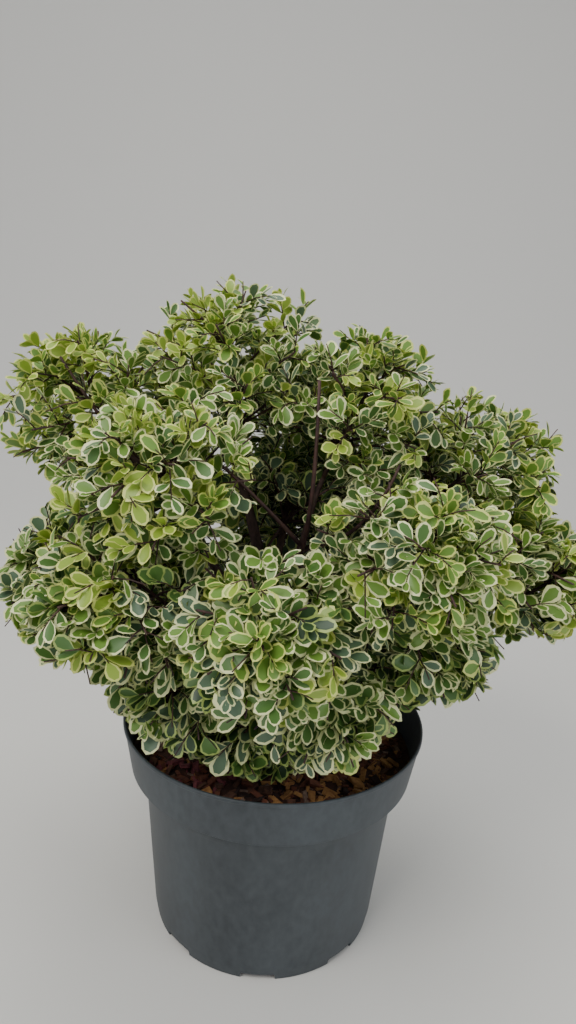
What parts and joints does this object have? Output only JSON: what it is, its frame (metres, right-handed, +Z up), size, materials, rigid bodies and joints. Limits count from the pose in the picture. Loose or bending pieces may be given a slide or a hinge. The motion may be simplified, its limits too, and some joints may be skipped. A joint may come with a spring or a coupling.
{
  "type": "potted kohuhu shrub",
  "caption": "Variegated kohuhu shrub with layered masses of small cream-edged leaves on thin dark boughs, in a blue-grey nursery pot filled with bark growing mix.",
  "frame": {"origin": "centre of the flat underside of the pot", "axes": "+Z up, -Y towards the front of the plant, +X to the right as seen from the front"},
  "size_m": [0.5166, 0.4243, 0.5692],
  "materials": {
    "pot_plastic": "matte",
    "bark_chips": "matte",
    "stem_bark": "matte",
    "foliage": "satin"
  },
  "bodies": {
    "root": {"pot": "pot_plastic", "growing_mix": "bark_chips", "stem": "stem_bark", "bough_low_front": "stem_bark", "bough_skirt_back_right": "stem_bark", "bough_skirt_left": "stem_bark", "bough_skirt_front": "stem_bark", "bough_skirt_back_left": "stem_bark", "bough_skirt_right": "stem_bark", "bough_left": "stem_bark", "bough_back": "stem_bark", "bough_front": "stem_bark", "bough_right": "stem_bark", "bough_top_left": "stem_bark", "bough_upper_back": "stem_bark", "bough_top_right": "stem_bark", "bough_middle": "stem_bark", "bough_front_left": "stem_bark", "bough_far_right": "stem_bark", "bough_front_right": "stem_bark", "bough_upper_front": "stem_bark", "bough_back_left": "stem_bark", "bough_back_right": "stem_bark", "leaves_top_centre": "foliage", "leaves_top_left": "foliage", "leaves_top_right": "foliage", "leaves_upper_front": "foliage", "leaves_upper_back": "foliage", "leaves_right": "foliage", "leaves_front_right": "foliage", "leaves_far_right": "foliage", "leaves_left": "foliage", "leaves_front_left": "foliage", "leaves_front": "foliage", "leaves_middle": "foliage", "leaves_back_left": "foliage", "leaves_back_right": "foliage", "leaves_back": "foliage", "leaves_skirt_right": "foliage", "leaves_skirt_front": "foliage", "leaves_skirt_left": "foliage", "leaves_low_front": "foliage", "leaves_skirt_back_left": "foliage", "leaves_skirt_back_right": "foliage"}
  },
  "joints": []
}
